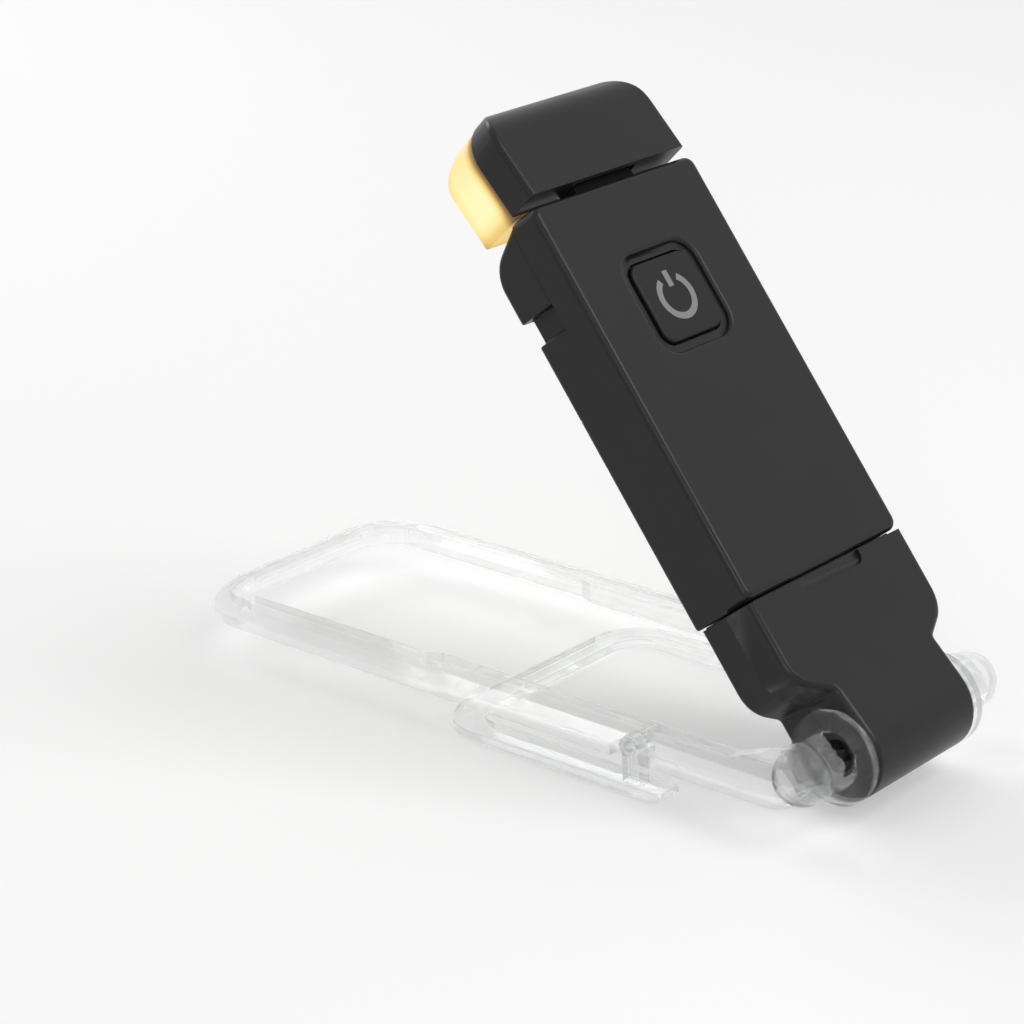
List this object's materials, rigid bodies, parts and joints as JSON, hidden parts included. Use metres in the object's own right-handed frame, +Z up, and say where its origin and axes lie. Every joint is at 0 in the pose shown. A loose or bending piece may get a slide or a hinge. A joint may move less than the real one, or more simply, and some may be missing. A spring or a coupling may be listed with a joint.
{
  "type": "reading lamp",
  "caption": "Clip-on reading light: a black housing with a tilting lit head leans over a clear loop that lies along a page, and a clear clip below grips the page.",
  "frame": {"origin": "middle of the footprint, on the surface that the page clip rests on", "axes": "+X along the hinge axis, +Y along the arms to the closed end of the loop, +Z up"},
  "size_m": [0.044, 0.1174, 0.0847],
  "materials": {
    "clear_plastic": "clear, polished",
    "black_plastic": "black satin",
    "button_plastic": "black satin with a pale power symbol",
    "warm_lens": "translucent, lit warm",
    "circuit_board": "solder-mask green",
    "chip_plastic": "moulded black",
    "foam": "grey foam tape",
    "cell_foil": "foil pouch",
    "plug_steel": "plated steel",
    "plug_core": "moulded black",
    "contact_metal": "gold plated",
    "led_resin": "yellow resin"
  },
  "bodies": {
    "clip_frame": {"frame_loop": "clear_plastic", "clip_hinge_pins": "clear_plastic"},
    "page_clip": {"page_clip": "clear_plastic"},
    "hinge_base": {"base_front": "black_plastic", "base_back": "black_plastic"},
    "lamp_body": {"front_shell": "black_plastic", "back_shell": "black_plastic", "main_board": "circuit_board", "board_chips": "chip_plastic", "tact_switch": "chip_plastic", "battery_pad": "foam", "battery_cell": "cell_foil", "usb_plug_shell": "plug_steel", "usb_plug_core": "plug_core", "usb_contacts": "contact_metal"},
    "power_button": {"button_cap": "button_plastic", "switch_plunger": "chip_plastic"},
    "lamp_head": {"head_cover": "black_plastic", "head_pin": "plug_steel", "head_lens": "warm_lens", "led_board": "circuit_board", "led_chips": "led_resin"}
  },
  "joints": [
    {"name": "frame_hinge", "type": "hinge", "parent": "clip_frame", "child": "hinge_base", "pos_m": [0, -0.0523, 0.00895], "axis": [1, 0, 0], "range_deg": [-53.5, 126.5]},
    {"name": "body_pull", "type": "slide", "parent": "hinge_base", "child": "lamp_body", "axis": [0, 0.5948, 0.8039], "range_m": [0, 0.012]},
    {"name": "head_tilt", "type": "hinge", "parent": "lamp_body", "child": "lamp_head", "pos_m": [0, -0.00382, 0.07708], "axis": [1, 0, 0], "range_deg": [-6, 15]},
    {"name": "button_press", "type": "slide", "parent": "lamp_body", "child": "power_button", "axis": [0, 0.8039, -0.5948], "range_m": [0, 0.0006], "stiffness_N_per_m": 800, "springref_m": -0.0003},
    {"name": "clip_open", "type": "hinge", "parent": "clip_frame", "child": "page_clip", "pos_m": [0, -0.0263, 0.0068], "axis": [1, 0, 0], "range_deg": [-12, 0], "stiffness_Nm_per_rad": 0.05, "springref_deg": 17.19}
  ]
}
